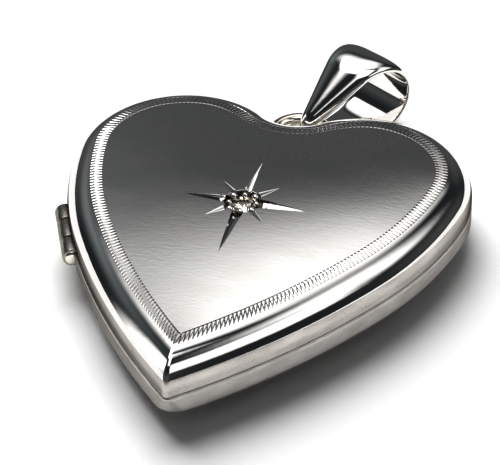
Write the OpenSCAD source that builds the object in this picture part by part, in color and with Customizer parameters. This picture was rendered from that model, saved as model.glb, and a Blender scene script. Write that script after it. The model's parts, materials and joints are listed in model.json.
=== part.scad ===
// Heart locket: two pressed silver covers on a side hinge, with photo frames
// inside, a star-set stone in the front and a bail on a ring at the cleft.
// +Z is the front face, the tip points to -Y and the bail to +Y.
// The origin is the centre of the flat back, which the locket rests on.

/* [Heart outline] */
// Width across the two lobes
heart_w = 20; // [17:0.5:24]
// Depth of the cleft below the tops of the lobes
cleft_depth = 1.62; // [1.2:0.02:2.2]
// Radius of the side below each lobe
side_r = 18.1; // [14:0.1:24]
// Turn of the outline where lobe meets side
side_turn = 9.2; // [5:0.2:14]
// Radius of the long flank that runs to the tip
flank_r = 37.3; // [30:0.1:50]
// Turn of the outline where side meets flank
flank_turn = 31.2; // [26:0.2:36]
// Radius of the rounded cleft between the lobes
cleft_r = 1.75; // [1.2:0.05:2.5]

/* [Covers] */
// Thickness of the pressed sheet
sheet_t = 0.4; // [0.3:0.05:0.5]
// Height of the upright wall of the front cover
front_wall = 0.86; // [0.6:0.02:1.2]
// Height from the seam to the top of the front cover's shoulder
front_rise = 1.83; // [1.5:0.01:2.4]
// Width of the front cover's rounded shoulder
front_shoulder = 1.2; // [0.9:0.05:1.6]
// Height of the satin dome above the shoulder
front_dome = 0.47; // [0.3:0.01:0.7]
// Height of the upright wall of the back cover
back_wall = 0.87; // [0.6:0.02:1.2]
// Depth from the seam to the foot of the back cover's shoulder
back_rise = 1.75; // [1.5:0.01:2.4]
// Width of the back cover's rounded shoulder
back_shoulder = 1.5; // [0.9:0.05:2]
// Depth of the back's shallow crown below the shoulder
back_crown = 0.3; // [0.2:0.01:0.5]

/* [Closing rim] */
// Thickness of the rim soldered inside the back cover
rim_t = 0.3; // [0.2:0.05:0.4]
// Height of the rim above the seam
rim_h = 0.4; // [0.3:0.05:0.5]
// Depth of the rim below the seam
rim_depth = 0.75; // [0.5:0.05:0.85]
// Gap between the rim and the front cover's wall
rim_gap = 0.06; // [0.04:0.01:0.1]

/* [Photo frames] */
// Width of each photo frame's flat border
frame_w = 1; // [0.7:0.05:1.4]
// Thickness of the frame's sheet
frame_t = 0.15; // [0.1:0.05:0.25]
// Depth of the frame's turned-down skirt
skirt_h = 0.45; // [0.45:0.05:0.6]
// Inset of the skirt from the frame's outer edge
skirt_in = 0.12; // [0.1:0.01:0.2]
// Gap between a frame and the wall that holds it
frame_gap = 0.03; // [0.02:0.01:0.06]
// Thickness of the clear window
window_t = 0.2; // [0.1:0.05:0.25]
// Thickness of the photo card
photo_t = 0.2; // [0.1:0.05:0.25]
// Gap around and between window, card and frame
card_gap = 0.02; // [0.01:0.01:0.04]

/* [Stone] */
// Girdle diameter of the round stone
stone_d = 1.25; // [1:0.05:1.6]
// Distance of the stone below the line through the lobe centres
star_drop = 4.4; // [3.5:0.1:5.5]
// Diameter of the seat soldered behind the stone
seat_d = 2.3; // [1.9:0.1:2.8]
// Thickness of the seat
seat_t = 0.5; // [0.4:0.05:0.6]

/* [Hinge] */
// Angle of the hinge round the side, below the widest line
hinge_turn = 26.5; // [22:0.5:30]
// Length of the hinge over its knuckles
hinge_len = 3.8; // [3:0.1:5]
// Share of the length taken by the middle knuckle
middle_len = 1.4; // [1:0.1:1.8]
// Outer radius of the knuckles
knuckle_r = 0.48; // [0.42:0.01:0.6]
// Distance of the pin's axis outside the outline
pin_offset = 0.06; // [0.05:0.01:0.15]
// Radius of the hinge pin
pin_r = 0.25; // [0.2:0.01:0.3]
// Radial clearance of the pin in the knuckles
pin_gap = 0.03; // [0.02:0.01:0.05]
// Clearance between a knuckle and the other cover
knuckle_gap = 0.06; // [0.05:0.01:0.1]
// Thickness of the pin's peened heads
head_t = 0.12; // [0.08:0.01:0.2]

/* [Ring and bail] */
// Radius of the soldered ring to the middle of its wire
ring_r = 1.39; // [1.2:0.01:1.7]
// Radius of the ring's wire
wire_r = 0.36; // [0.3:0.01:0.45]
// Depth of the ring's wire centre below the seam
ring_drop = 0.45; // [0.4:0.01:0.6]
// Depth that the ring is let into the cleft
ring_sink = 0.12; // [0.08:0.01:0.15]
// Turn of the bail round the ring, from straight up towards +X
bail_turn = 31; // [0:1:35]
// Lift of the bail's far end above its ring end
bail_lift = 13.5; // [8:0.5:16]
// Radius of the bail's round end
bail_r = 2.0; // [1.8:0.01:2.2]
// Radius of the bail's narrow end round the ring
bail_end_r = 0.78; // [0.72:0.01:0.9]
// Distance between the centres of the bail's two ends
bail_len = 3.0; // [2.6:0.1:3.6]
// Half width of the bail at its round end
bail_half_w = 1.9; // [1.4:0.05:2]
// Half width of the bail at its narrow end
bail_end_half_w = 0.45; // [0.35:0.05:0.5]
// Thickness of the bail at its edges
bail_t = 0.26; // [0.2:0.02:0.3]
// Extra thickness of the bail along its middle
bail_puff = 0.14; // [0.05:0.01:0.2]

/* [Hidden] */
eps = 0.01;
over = 1;

// Steps along each arc of half the outline
cleft_steps = 5;
lobe_steps = 20;
side_steps = 6;
flank_steps = 8;
// Rings round the shoulders, the dome and the crown
shoulder_rings = 5;
dome_rings = 4;
crown_rings = 2;
// Share of the back that stays flat, measured towards its middle
flat_start = 0.3;

// Radius of the lobes that gives the cleft its depth between them
lobe_r = cleft_depth + heart_w / 2 - sqrt(cleft_depth * (heart_w + 2 * cleft_r));
// Centres of the arcs of the right half, each tangent to the next
lobe_x = heart_w / 2 - lobe_r;
cleft_y = sqrt(pow(lobe_r + cleft_r, 2) - pow(lobe_x, 2));
side_x = lobe_x - (side_r - lobe_r) * cos(side_turn);
side_y = (side_r - lobe_r) * sin(side_turn);
flank_x = side_x - (flank_r - side_r) * cos(flank_turn);
flank_y = side_y + (flank_r - side_r) * sin(flank_turn);
tip_y = flank_y - sqrt(pow(flank_r, 2) - pow(flank_x, 2));
// The lobe centres' height that puts the heart's middle on the origin
lobe_y = -(lobe_r + tip_y) / 2;

seam_z = back_rise + back_crown;
star_y = -star_drop;
dome_top = front_rise + front_dome;

// Offsets inwards from the outline
rim_out = sheet_t + rim_gap;
rim_in = rim_out + rim_t;
back_frame_out = rim_in + frame_gap;
front_frame_out = sheet_t + frame_gap;
back_frame_z = -0.15;
front_frame_z = rim_h + 0.1;

// Stone proportions, as shares of its diameter
crown_share = 0.16;
girdle_share = 0.03;
pavilion_share = 0.43;
table_share = 0.57;
stone_sink = 0.03;
girdle_z = dome_top - stone_sink - crown_share * stone_d;
hole_gap = 0.03;

outer_len = (hinge_len - middle_len) / 2 - knuckle_gap;

ring_y = cleft_y - (cleft_r - ring_r - wire_r) - ring_sink;
wire_x = ring_r * sin(bail_turn);
wire_y = ring_y + ring_r * cos(bail_turn);
// Turn of the tangents that join the bail's two ends
bail_flare = asin((bail_r - bail_end_r) / bail_len);
bail_arc_steps = 24;
bail_end_steps = 8;
bail_side_steps = 4;
bail_taper = 1.3;

// Points along an arc, leaving out the first one
function arc(x, y, r, from, to, steps) =
    [for (i = [1:steps]) let (a = from + (to - from) * i / steps) [x + r * cos(a), y + r * sin(a)]];

// Angle at which the offset flank meets the middle line
function tip_turn(d) = -acos(-flank_x / (flank_r - d));

// Right half of the outline moved inwards by d, from the cleft to the tip
function half_outline(d) = concat(
    [[0, cleft_y - cleft_r - d]],
    arc(0, cleft_y, cleft_r + d, -90, atan2(-cleft_y, lobe_x), cleft_steps),
    arc(lobe_x, 0, lobe_r - d, atan2(cleft_y, -lobe_x), -side_turn, lobe_steps),
    arc(side_x, side_y, side_r - d, -side_turn, -flank_turn, side_steps),
    arc(flank_x, flank_y, flank_r - d, -flank_turn, tip_turn(d), flank_steps));

// Whole outline moved inwards by d, clockwise from the cleft
function outline(d) = let (half = half_outline(d), last = len(half) - 1)
    concat([for (p = half) p], [for (i = [last - 1:-1:1]) [-half[i][0], half[i][1]]]);

// One ring of a cover: offset d, drawn towards the star by share s, at height z
function cover_ring(p) = [for (q = outline(p[0]))
    [(1 - p[1]) * q[0], (1 - p[1]) * q[1] + p[1] * star_y, p[2]]];

// Rings of a quarter ellipse from an upright wall to a level top
function shoulder(d0, wall, width, rise) = [for (i = [0:shoulder_rings])
    let (a = 90 * i / shoulder_rings) [d0 + width * (1 - cos(a)), 0, wall + (rise - wall) * sin(a)]];

// Rings of a shallow dome from the shoulder to share end of the way to the star
function dome(d, rise, height, end, rings) = [for (i = [1:rings])
    let (s = i / rings) [d, end * s, rise + height * (1 - pow(1 - s, 2))]];

// Triangles between ring i and ring j of n points, facing one way or the other
function band(i, j, n, flip) = [for (k = [0:n - 1])
    let (a = i + k, b = i + (k + 1) % n, c = j + k, d = j + (k + 1) % n)
    each flip ? [[a, c, b], [b, c, d]] : [[a, b, c], [b, d, c]]];

// Triangles from a ring of n points to an apex
function fan(i, apex, n, flip) = [for (k = [0:n - 1])
    flip ? [i + k, apex, i + (k + 1) % n] : [i + k, i + (k + 1) % n, apex]];

// A thin heart-shaped cover, open at z = 0, from its outer and inner rings
module cover_shell(outer, inner, top, under) {
    n = len(outline(0));
    start = len(outer) * n + 1;
    points = concat([for (p = outer) each cover_ring(p)], [[0, star_y, top]],
        [for (p = inner) each cover_ring(p)], [[0, star_y, under]]);
    faces = concat(
        [for (i = [0:len(outer) - 2]) each band(i * n, (i + 1) * n, n, true)],
        fan((len(outer) - 1) * n, len(outer) * n, n, true),
        [for (i = [0:len(inner) - 2]) each band(start + i * n, start + (i + 1) * n, n, false)],
        fan(start + (len(inner) - 1) * n, start + len(inner) * n, n, false),
        band(0, start, n, false));
    polyhedron(points = points, faces = faces, convexity = 6);
}

// Rings of one cover's skin, d0 inside the outline
function cover_skin(d0, wall, width, rise, height, end, rings) =
    concat([[d0, 0, 0]], shoulder(d0, wall, width - d0, rise), dome(width, rise, height, end, rings));

// Puts the children at the seam, in the heart's own place
module at_seam() {
    translate([0, lobe_y, seam_z]) children();
}

// Puts the children at the middle of the hinge, with the pin along Y and the heart towards +X
module at_hinge() {
    reach = side_r + pin_offset;
    at_seam()
        translate([-side_x - reach * cos(hinge_turn), side_y - reach * sin(hinge_turn), 0])
            rotate([0, 0, hinge_turn])
                children();
}

// A round bar of radius r along the pin, from one place to another
module pin_bar(r, from, to) {
    translate([0, to, 0])
        rotate([90, 0, 0])
            cylinder(r = r, h = to - from, $fn = 48);
}

// The lengths of the pin that the outer knuckles take
module outer_bars(r, gap) {
    pin_bar(r, -hinge_len / 2 - gap, -hinge_len / 2 + outer_len + gap);
    pin_bar(r, hinge_len / 2 - outer_len - gap, hinge_len / 2 + gap);
}

// A heart-shaped plate from height z0 to z1, inset by d
module heart_plate(d, z0, z1) {
    translate([0, 0, z0]) linear_extrude(z1 - z0) polygon(outline(d));
}

// A heart-shaped band between two insets
module heart_band(d0, d1, z0, z1) {
    translate([0, 0, z0])
        linear_extrude(z1 - z0)
            difference() {
                polygon(outline(d0));
                polygon(outline(d1));
            }
}

module back_cover() {
    color("silver")
        difference() {
            at_seam()
                mirror([0, 0, 1])
                    cover_shell(
                        cover_skin(0, back_wall, back_shoulder, back_rise, back_crown, flat_start, crown_rings),
                        cover_skin(sheet_t, back_wall, back_shoulder, back_rise - sheet_t, back_crown,
                            flat_start, crown_rings),
                        seam_z, seam_z - sheet_t);
            at_hinge() {
                outer_bars(knuckle_r, 0);
                pin_bar(knuckle_r + knuckle_gap, -middle_len / 2 - knuckle_gap, middle_len / 2 + knuckle_gap);
                pin_bar(knuckle_r, -hinge_len / 2 - head_t - knuckle_gap, -hinge_len / 2);
                pin_bar(knuckle_r, hinge_len / 2, hinge_len / 2 + head_t + knuckle_gap);
            }
        }
}

module front_cover() {
    color("gainsboro")
        difference() {
            at_seam()
                cover_shell(
                    cover_skin(0, front_wall, front_shoulder, front_rise, front_dome, 0.85, dome_rings),
                    cover_skin(sheet_t, front_wall, front_shoulder, front_rise - sheet_t, front_dome,
                        0.85, dome_rings),
                    dome_top, dome_top - sheet_t);
            at_seam()
                translate([0, star_y, front_wall])
                    cylinder(r = stone_d / 2 + hole_gap, h = front_rise + over, $fn = 48);
            at_hinge() {
                pin_bar(knuckle_r, -middle_len / 2, middle_len / 2);
                outer_bars(knuckle_r + knuckle_gap, knuckle_gap);
                pin_bar(knuckle_r + knuckle_gap, -hinge_len / 2 - head_t - 2 * knuckle_gap, -hinge_len / 2);
                pin_bar(knuckle_r + knuckle_gap, hinge_len / 2, hinge_len / 2 + head_t + 2 * knuckle_gap);
            }
        }
}

module closing_rim() {
    color("lightgray")
        difference() {
            at_seam() {
                heart_band(sheet_t, rim_in, -rim_depth, -knuckle_gap);
                heart_band(rim_out, rim_in, -knuckle_gap - eps, rim_h);
            }
            at_hinge()
                pin_bar(knuckle_r + 2 * knuckle_gap, -hinge_len / 2 - head_t - knuckle_gap,
                    hinge_len / 2 + head_t + knuckle_gap);
        }
}

// A sheet frame with a flat border and a skirt that holds window and card
module photo_frame(d, z) {
    heart_band(d, d + frame_w, z, z + frame_t);
    heart_band(d + skirt_in, d + skirt_in + frame_t, z + frame_t - eps, z + frame_t + skirt_h);
}

module window(d, z) {
    inset = d + skirt_in + frame_t + card_gap;
    heart_plate(inset, z + frame_t + card_gap, z + frame_t + card_gap + window_t);
}

module photo_card(d, z) {
    inset = d + skirt_in + frame_t + card_gap;
    below = z + frame_t + 2 * card_gap + window_t;
    heart_plate(inset, below, below + photo_t);
}

module back_photo_frame() {
    color("silver") at_seam() mirror([0, 0, 1]) photo_frame(back_frame_out, -back_frame_z);
}

module back_window() {
    color("lightcyan", 0.5) at_seam() mirror([0, 0, 1]) window(back_frame_out, -back_frame_z);
}

module back_photo_card() {
    color("ivory") at_seam() mirror([0, 0, 1]) photo_card(back_frame_out, -back_frame_z);
}

module front_photo_frame() {
    color("silver") at_seam() photo_frame(front_frame_out, front_frame_z);
}

module front_window() {
    color("lightcyan", 0.5) at_seam() window(front_frame_out, front_frame_z);
}

module front_photo_card() {
    color("ivory") at_seam() photo_card(front_frame_out, front_frame_z);
}

// A tube of the hinge, drilled for the pin
module knuckle(from, to) {
    at_hinge()
        difference() {
            pin_bar(knuckle_r, from, to);
            pin_bar(pin_r + pin_gap, from - over, to + over);
        }
}

module hinge_knuckle_upper() {
    color("silver") knuckle(hinge_len / 2 - outer_len, hinge_len / 2);
}

module hinge_knuckle_lower() {
    color("silver") knuckle(-hinge_len / 2, -hinge_len / 2 + outer_len);
}

module hinge_knuckle_middle() {
    color("silver") knuckle(-middle_len / 2, middle_len / 2);
}

module hinge_pin() {
    head_r = (pin_r + knuckle_r) / 2;
    color("darkgray")
        at_hinge() {
            pin_bar(pin_r, -hinge_len / 2 - head_t, hinge_len / 2 + head_t);
            pin_bar(head_r, -hinge_len / 2 - head_t, -hinge_len / 2);
            pin_bar(head_r, hinge_len / 2, hinge_len / 2 + head_t);
        }
}

module stone_seat() {
    top = dome_top - sheet_t - 2 * eps;
    depth = girdle_z - girdle_share * stone_d - top;
    cone_r = stone_d / 2 * (1 - depth / (pavilion_share * stone_d)) + eps;
    drill_r = cone_r / 2;
    color("silver")
        at_seam()
            translate([0, star_y, top - seat_t])
                difference() {
                    cylinder(d = seat_d, h = seat_t, $fn = 48);
                    translate([0, 0, -over]) cylinder(r = drill_r, h = seat_t + 2 * over, $fn = 48);
                    translate([0, 0, seat_t - pavilion_share * stone_d * cone_r / (stone_d / 2)])
                        cylinder(r1 = 0, r2 = cone_r * 2, h = 2 * pavilion_share * stone_d * cone_r / (stone_d / 2),
                            $fn = 48);
                }
}

// A round brilliant: crown, girdle and pavilion
module stone() {
    r = stone_d / 2;
    girdle_h = girdle_share * stone_d;
    color("white", 0.6)
        at_seam()
            translate([0, star_y, girdle_z])
                rotate_extrude($fn = 48)
                    polygon([
                        [0, -girdle_h - pavilion_share * stone_d],
                        [r, -girdle_h],
                        [r, 0],
                        [r * table_share, crown_share * stone_d],
                        [0, crown_share * stone_d]]);
}

// The ring is trimmed flush to the cover's wall, where it is soldered
module bail_ring() {
    color("silver")
        at_seam()
            difference() {
                translate([0, ring_y, -ring_drop])
                    rotate_extrude($fn = 64)
                        translate([ring_r, 0]) circle(r = wire_r, $fn = 32);
                translate([0, 0, -back_wall]) linear_extrude(back_wall + over) polygon(outline(0));
            }
}

// The bail's loop as points, each with its outward direction: round end, far tangent,
// narrow end and near tangent
function bail_path() = let (
    a = 90 + bail_flare,
    round_end = [for (i = [0:bail_arc_steps]) let (t = -a + 2 * a * i / bail_arc_steps)
        [bail_len + bail_r * cos(t), bail_r * sin(t), t]],
    narrow_end = [for (i = [0:bail_end_steps]) let (t = a + (360 - 2 * a) * i / bail_end_steps)
        [bail_end_r * cos(t), bail_end_r * sin(t), t]],
    far_side = [for (i = [1:bail_side_steps - 1]) let (s = i / bail_side_steps)
        (1 - s) * round_end[bail_arc_steps] + s * narrow_end[0]],
    near_side = [for (i = [1:bail_side_steps - 1]) let (s = i / bail_side_steps)
        [for (k = [0:1]) (1 - s) * narrow_end[bail_end_steps][k] + s * round_end[0][k]]])
    concat(round_end, far_side, narrow_end, [for (p = near_side) [p[0], p[1], -a]]);

// Half width of the bail at distance x along it
function bail_width(x) = let (s = (bail_len + bail_r - x) / (bail_len + bail_r + bail_end_r))
    bail_half_w + (bail_end_half_w - bail_half_w) * pow(max(0, min(1, s)), bail_taper);

// Cross-section of the band: [across, outwards], puffed on the outside
bail_section = concat(
    [for (v = [-1:0.5:1]) [v, bail_t / 2 + bail_puff * (1 - v * v)]],
    [[1, -bail_t / 2], [0, -bail_t / 2], [-1, -bail_t / 2]]);

module bail() {
    path = bail_path();
    m = len(bail_section);
    points = [for (p = path) each [for (q = bail_section)
        [p[0] + q[1] * cos(p[2]), q[0] * bail_width(p[0]), p[1] + q[1] * sin(p[2])]]];
    faces = [for (i = [0:len(path) - 1]) each band(i * m, ((i + 1) % len(path)) * m, m, true)];
    color("silver")
        at_seam()
            translate([wire_x, wire_y, -ring_drop])
                rotate([0, 0, 90 - bail_turn])
                    rotate([0, -bail_lift, 0])
                        polyhedron(points = points, faces = faces, convexity = 6);
}

back_cover();
closing_rim();
back_photo_frame();
back_window();
back_photo_card();
hinge_knuckle_upper();
hinge_knuckle_lower();
hinge_pin();
bail_ring();
front_cover();
front_photo_frame();
front_window();
front_photo_card();
stone_seat();
stone();
hinge_knuckle_middle();
bail();
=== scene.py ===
"""Looks of a heart locket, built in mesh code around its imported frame.

Lengths in the classes are millimetres, in the frame's own axes: +Z is the front face, -Y the tip
and +Y the bail. Every mesh is worked out as whole numpy arrays and is a closed solid.
"""

import json
import logging
import math
from dataclasses import dataclass
from enum import Enum
from typing import Any, Optional, Sequence, Union

import bpy
import numpy as np
from mathutils import Matrix, Vector
from numpy.typing import NDArray


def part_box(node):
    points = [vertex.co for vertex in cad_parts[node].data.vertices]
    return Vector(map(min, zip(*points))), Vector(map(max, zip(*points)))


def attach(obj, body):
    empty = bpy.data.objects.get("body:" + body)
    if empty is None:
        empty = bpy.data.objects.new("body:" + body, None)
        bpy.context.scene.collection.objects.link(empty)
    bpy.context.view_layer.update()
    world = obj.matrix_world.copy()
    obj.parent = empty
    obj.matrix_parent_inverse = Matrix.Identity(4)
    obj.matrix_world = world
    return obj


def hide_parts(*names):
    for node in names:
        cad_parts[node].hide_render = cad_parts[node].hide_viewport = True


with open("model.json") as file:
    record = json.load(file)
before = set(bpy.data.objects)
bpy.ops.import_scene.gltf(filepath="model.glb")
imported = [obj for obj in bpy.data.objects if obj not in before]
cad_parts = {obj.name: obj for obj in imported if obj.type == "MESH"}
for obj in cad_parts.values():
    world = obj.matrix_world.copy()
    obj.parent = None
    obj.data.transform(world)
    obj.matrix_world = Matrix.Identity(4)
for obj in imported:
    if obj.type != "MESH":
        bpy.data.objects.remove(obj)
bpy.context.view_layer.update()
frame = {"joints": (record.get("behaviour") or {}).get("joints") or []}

MM = 0.001
TURN = 2 * math.pi
SENSOR_WIDTH = 36
NOISE_LOW, NOISE_HIGH = 0.3, 0.7
"""The range that nearly all of a noise's values lie in."""
TINY = 1e-6
TIP_R = 0.1
"""Radius of the heart's tip inside the shoulder, in millimetres."""

Array = NDArray[np.float64]
Index = NDArray[np.int64]
Number = Union[float, Array]
Point = tuple[float, float]
Triple = tuple[float, float, float]
Counts = tuple[int, ...]
Socket = bpy.types.NodeSocket
Material = bpy.types.Material
Piece = bpy.types.Object
Inputs = dict[Union[str, int], Any]

log = logging.getLogger("locket")


class Body(Enum):
    """The moving bodies of the frame."""

    BACK = "back_half"
    FRONT = "front_half"
    BAIL = "bail"


class Slot(Enum):
    """The record's material slots."""

    SATIN = "satin_silver"
    POLISHED = "polished_silver"
    STONE = "stone"
    WINDOW = "window"
    CARD = "card"


# ---------------------------------------------------------------- finishes


class Nodes:
    """A node tree under construction, with a short way to add a node to it."""

    def __init__(self, tree: bpy.types.NodeTree) -> None:
        """Empties the tree."""
        self.tree = tree
        tree.nodes.clear()

    def fill(self, node: bpy.types.Node, inputs: Inputs) -> None:
        """Joins or sets a node's inputs.

        Args:
            node: the node.
            inputs: for an input's name or number, the socket it is joined to or its own value.
        """
        for key, value in inputs.items():
            if isinstance(value, Socket):
                self.tree.links.new(value, node.inputs[key])
            else:
                node.inputs[key].default_value = value

    def add(self, kind: str, inputs: Inputs, **options: Any) -> bpy.types.Node:
        """Adds a node.

        Args:
            kind: its type, after the word ShaderNode.
            inputs: its inputs, as fill takes them.
            options: its own settings.

        Returns:
            The node.
        """
        node = self.tree.nodes.new(f"ShaderNode{kind}")
        for option, value in options.items():
            setattr(node, option, value)
        self.fill(node, inputs)
        return node


class Shading(Nodes):
    """A material under construction: a Principled shader whose patterns use Object coordinates."""

    def __init__(self, name: str) -> None:
        """Starts an empty node material.

        Args:
            name: the material's name.
        """
        self.material = bpy.data.materials.new(name)
        self.material.use_nodes = True
        super().__init__(self.material.node_tree)
        self.shader = self.add("BsdfPrincipled", {})
        self.add("OutputMaterial", {"Surface": self.shader.outputs["BSDF"]})
        self.place = self.add("TexCoord", {}).outputs["Object"]

    def dress(self, inputs: Inputs) -> Material:
        """Fills the shader's inputs and gives the finished material."""
        self.fill(self.shader, inputs)
        return self.material

    def noise(
        self, per_mm: Sequence[float], detail: float = 3, rough: float = 0.55, warp: float = 0
    ) -> Socket:
        """Fractal noise in object space.

        Args:
            per_mm: cells per millimetre along x, y and z.
            detail: octaves of finer noise.
            rough: strength of each finer octave.
            warp: distortion of the noise by itself.

        Returns:
            The noise's value, from 0 to 1.
        """
        scale = [cells / MM for cells in per_mm]
        mapping = self.add("Mapping", {"Vector": self.place, "Scale": scale})
        cells = {"Vector": mapping.outputs["Vector"], "Scale": 1}
        look = {"Detail": detail, "Roughness": rough, "Distortion": warp}
        return self.add("TexNoise", cells | look).outputs["Fac"]

    def spread(self, value: Socket, low: float, high: float) -> Socket:
        """A noise's value spread over low to high, held at both ends."""
        ends = {"From Min": NOISE_LOW, "From Max": NOISE_HIGH, "To Min": low, "To Max": high}
        return self.add("MapRange", {"Value": value} | ends).outputs["Result"]

    def colours(self, value: Socket, first: Triple, second: Triple) -> Socket:
        """A colour between first and second, as noise spreads them over the piece.

        Args:
            value: the noise.
            first: the colour where it is low.
            second: the colour where it is high.

        Returns:
            The colour. A Mix of colours has its share at input 0 and its colours at 6 and 7.
        """
        inputs = {0: self.spread(value, 0, 1), 6: (*first, 1), 7: (*second, 1)}
        return self.add("Mix", inputs, data_type="RGBA").outputs[2]

    def bump(self, height: Socket, depth: float, below: Optional[Socket] = None) -> Socket:
        """Relief laid on a surface.

        Args:
            height: the relief's shape, from 0 to 1.
            depth: its depth in millimetres.
            below: the normal of a coarser relief that it lies on.

        Returns:
            The normal.
        """
        base = {} if below is None else {"Normal": below}
        inputs = {"Height": height, "Strength": 1, "Distance": depth * MM}
        return self.add("Bump", inputs | base).outputs["Normal"]


@dataclass(frozen=True)
class Silver:
    """Silver with its own polish: clouded gloss, a stretched ripple and a fine speckle."""

    name: str
    colour: Triple
    shade: Triple
    gloss: Point
    cloud: Triple = (0.5, 0.5, 0.5)
    ripple: Triple = (2, 2, 2)
    ripple_depth: float = 0
    speckle: float = 14
    speckle_depth: float = 0
    # Tint of the grazing reflection: below 1 it dims it, painted shade on the walls and knuckles.
    edge: float = 1

    def material(self) -> Material:
        """Builds the node material: noise drives colour, roughness and two layers of relief.

        Returns:
            The material.
        """
        s = Shading(self.name)
        low, high = self.gloss
        cloud = s.noise(self.cloud, detail=4)
        grain = s.noise([self.speckle] * 3, detail=2, rough=0.6)
        wave = s.noise(self.ripple, detail=3, rough=0.5, warp=0.6)
        gloss = {0: s.spread(grain, -1, 1), 1: (high - low) / 4, 2: s.spread(cloud, low, high)}
        return s.dress({
            "Metallic": 1,
            "Specular Tint": (self.edge, self.edge, self.edge, 1),
            "Base Color": s.colours(cloud, self.colour, self.shade),
            "Roughness": s.add("Math", gloss, operation="MULTIPLY_ADD").outputs[0],
            "Normal": s.bump(grain, self.speckle_depth, s.bump(wave, self.ripple_depth)),
        })


@dataclass(frozen=True)
class Clear:
    """A clear solid, such as a cut stone or an acetate window."""

    name: str
    colour: Triple
    ior: float
    gloss: Point
    wave_depth: float
    pale: float = 1.03

    def material(self) -> Material:
        """Builds the node material: a refracting body with faint handling marks.

        Returns:
            The material.
        """
        s = Shading(self.name)
        cloud = s.noise((0.8, 0.8, 0.8))
        pale = tuple(min(1, part * self.pale) for part in self.colour)
        return s.dress({
            "Transmission Weight": 1,
            "IOR": self.ior,
            "Base Color": s.colours(cloud, self.colour, pale),
            "Roughness": s.spread(cloud, *self.gloss),
            "Normal": s.bump(s.noise((3, 3, 3)), self.wave_depth),
        })


@dataclass(frozen=True)
class Matt:
    """A matt stock, such as card or the studio floor, with a fibrous surface."""

    name: str
    colour: Triple
    shade: Triple
    fibre: Triple
    fibre_depth: float
    gloss: Point = (0.6, 0.8)
    shine: float = 0.12

    def material(self) -> Material:
        """Builds the node material: fibres in two directions, coloured and in relief.

        Returns:
            The material.
        """
        s = Shading(self.name)
        x, y, z = self.fibre
        along = s.noise((x, y, z), detail=5, warp=0.8)
        across = s.noise((y, x, z), detail=5, warp=0.8)
        relief = s.bump(along, self.fibre_depth)
        return s.dress({
            "Specular IOR Level": self.shine,
            "Base Color": s.colours(along, self.colour, self.shade),
            "Roughness": s.spread(across, *self.gloss),
            "Normal": s.bump(across, self.fibre_depth, relief),
        })


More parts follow.
